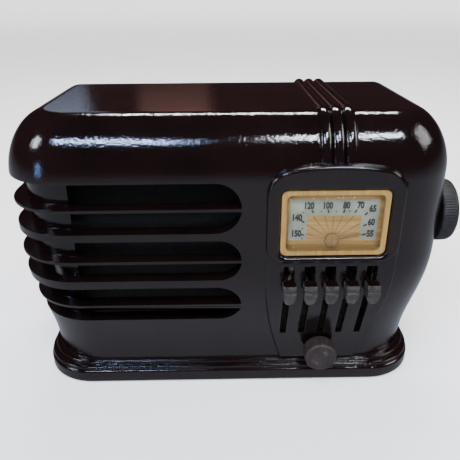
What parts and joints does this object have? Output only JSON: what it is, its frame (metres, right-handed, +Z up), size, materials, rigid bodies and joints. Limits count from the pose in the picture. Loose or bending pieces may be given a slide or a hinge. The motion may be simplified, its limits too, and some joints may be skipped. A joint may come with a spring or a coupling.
{
  "type": "tabletop radio",
  "caption": "Moulded bullnose tabletop radio with left louvres, ribbed top, lit-style dial window, preset tuning levers, front volume knob and side tuning knob.",
  "frame": {"origin": "bottom centre of the bounding box, on the plane the feet rest on", "axes": "+Z up, front of the radio facing -Y, +X towards the side tuning knob, the longest way"},
  "size_m": [0.3256, 0.1526, 0.2219],
  "materials": {
    "cabinet": "high-gloss near-black phenolic moulding with a slight orange-peel",
    "hardboard": "brown pressed fibreboard, matt",
    "rubber": "matt black rubber",
    "grille_cloth": "dark woven speaker cloth",
    "grey_steel": "grey enamelled steel",
    "cone_paper": "dark pressed paper",
    "plated_steel": "dull zinc-plated sheet steel",
    "capacitor_plates": "thin aluminium plates",
    "dial_face": "printed dial, silver-grey band round a tan field",
    "dial_frame": "aged gold lacquered frame",
    "lens": "clear moulded lens, slightly yellowed",
    "shaft_steel": "plain steel",
    "can_aluminium": "spun aluminium can",
    "knob_charcoal": "worn matt charcoal phenolic",
    "brass": "plain brass",
    "pointer": "dark brown painted needle",
    "knob_brown": "worn matt brown phenolic, fluted",
    "tube_glass": "smoky glass bulb on a dark phenolic base",
    "lever_cap": "worn grey-brown moulded plastic"
  },
  "bodies": {
    "cabinet": {"cabinet_shell": "cabinet", "back_cover": "hardboard", "back_cover_screw_1": "plated_steel", "back_cover_screw_2": "plated_steel", "back_cover_screw_3": "plated_steel", "back_cover_screw_4": "plated_steel", "cord_grommet": "rubber", "foot_1": "rubber", "foot_2": "rubber", "foot_3": "rubber", "foot_4": "rubber", "grille_cloth": "grille_cloth", "speaker_baffle": "hardboard", "baffle_nut_1": "plated_steel", "baffle_nut_2": "plated_steel", "baffle_nut_3": "plated_steel", "baffle_nut_4": "plated_steel", "speaker_frame": "grey_steel", "speaker_cone": "cone_paper", "speaker_magnet": "grey_steel", "chassis": "plated_steel", "chassis_bolt_1": "plated_steel", "chassis_bolt_2": "plated_steel", "chassis_bolt_3": "plated_steel", "chassis_bolt_4": "plated_steel", "tuning_capacitor_frame": "plated_steel", "tuning_capacitor_stator": "capacitor_plates", "dial_scale": "dial_face", "dial_escutcheon": "dial_frame", "dial_lens": "lens", "lever_frame": "plated_steel", "lever_pivot_rod": "shaft_steel", "volume_control": "plated_steel", "tube_1": "tube_glass", "tube_2": "tube_glass", "tube_3": "tube_glass", "tube_4": "tube_glass", "tube_5": "tube_glass", "transformer_can": "can_aluminium", "output_transformer": "grey_steel"},
    "tuning": {"tuning_shaft": "shaft_steel", "tuning_knob": "knob_charcoal", "tuning_bevel_gear": "brass", "tuning_capacitor_rotor": "capacitor_plates"},
    "pointer": {"pointer_bevel_gear": "brass", "pointer_shaft": "shaft_steel", "dial_pointer": "pointer"},
    "volume": {"volume_shaft": "shaft_steel", "volume_knob": "knob_brown"},
    "lever_1": {"lever_arm_1": "shaft_steel", "lever_cap_1": "lever_cap"},
    "lever_2": {"lever_arm_2": "shaft_steel", "lever_cap_2": "lever_cap"},
    "lever_3": {"lever_arm_3": "shaft_steel", "lever_cap_3": "lever_cap"},
    "lever_4": {"lever_arm_4": "shaft_steel", "lever_cap_4": "lever_cap"},
    "lever_5": {"lever_arm_5": "shaft_steel", "lever_cap_5": "lever_cap"}
  },
  "joints": [
    {"name": "tuning_turn", "type": "hinge", "parent": "cabinet", "child": "tuning", "pos_m": [0.11225, -0.0087, 0.135], "axis": [-1, 0, 0], "range_deg": [0, 165]},
    {"name": "pointer_turn", "type": "hinge", "parent": "cabinet", "child": "pointer", "pos_m": [0.06225, -0.0437, 0.1345], "axis": [0, -1, 0], "range_deg": [0, 165]},
    {"name": "volume_turn", "type": "hinge", "parent": "cabinet", "child": "volume", "pos_m": [0.06225, -0.0337, 0.032], "axis": [0, 1, 0], "range_deg": [0, 300]},
    {"name": "lever_1_press", "type": "hinge", "parent": "cabinet", "child": "lever_1", "pos_m": [0.03325, 0.0183, 0.078], "axis": [1, 0, 0], "range_deg": [0, 26], "stiffness_Nm_per_rad": 0.05, "springref_deg": -22.92},
    {"name": "lever_2_press", "type": "hinge", "parent": "cabinet", "child": "lever_2", "pos_m": [0.04775, 0.0183, 0.078], "axis": [1, 0, 0], "range_deg": [0, 26], "stiffness_Nm_per_rad": 0.05, "springref_deg": -22.92},
    {"name": "lever_3_press", "type": "hinge", "parent": "cabinet", "child": "lever_3", "pos_m": [0.06225, 0.0183, 0.078], "axis": [1, 0, 0], "range_deg": [0, 26], "stiffness_Nm_per_rad": 0.05, "springref_deg": -22.92},
    {"name": "lever_4_press", "type": "hinge", "parent": "cabinet", "child": "lever_4", "pos_m": [0.07675, 0.0183, 0.078], "axis": [1, 0, 0], "range_deg": [0, 26], "stiffness_Nm_per_rad": 0.05, "springref_deg": -22.92},
    {"name": "lever_5_press", "type": "hinge", "parent": "cabinet", "child": "lever_5", "pos_m": [0.09125, 0.0183, 0.078], "axis": [1, 0, 0], "range_deg": [0, 26], "stiffness_Nm_per_rad": 0.05, "springref_deg": -22.92}
  ],
  "couplings": [
    {"joint": "pointer_turn", "follows": "tuning_turn", "ratio": 1}
  ]
}
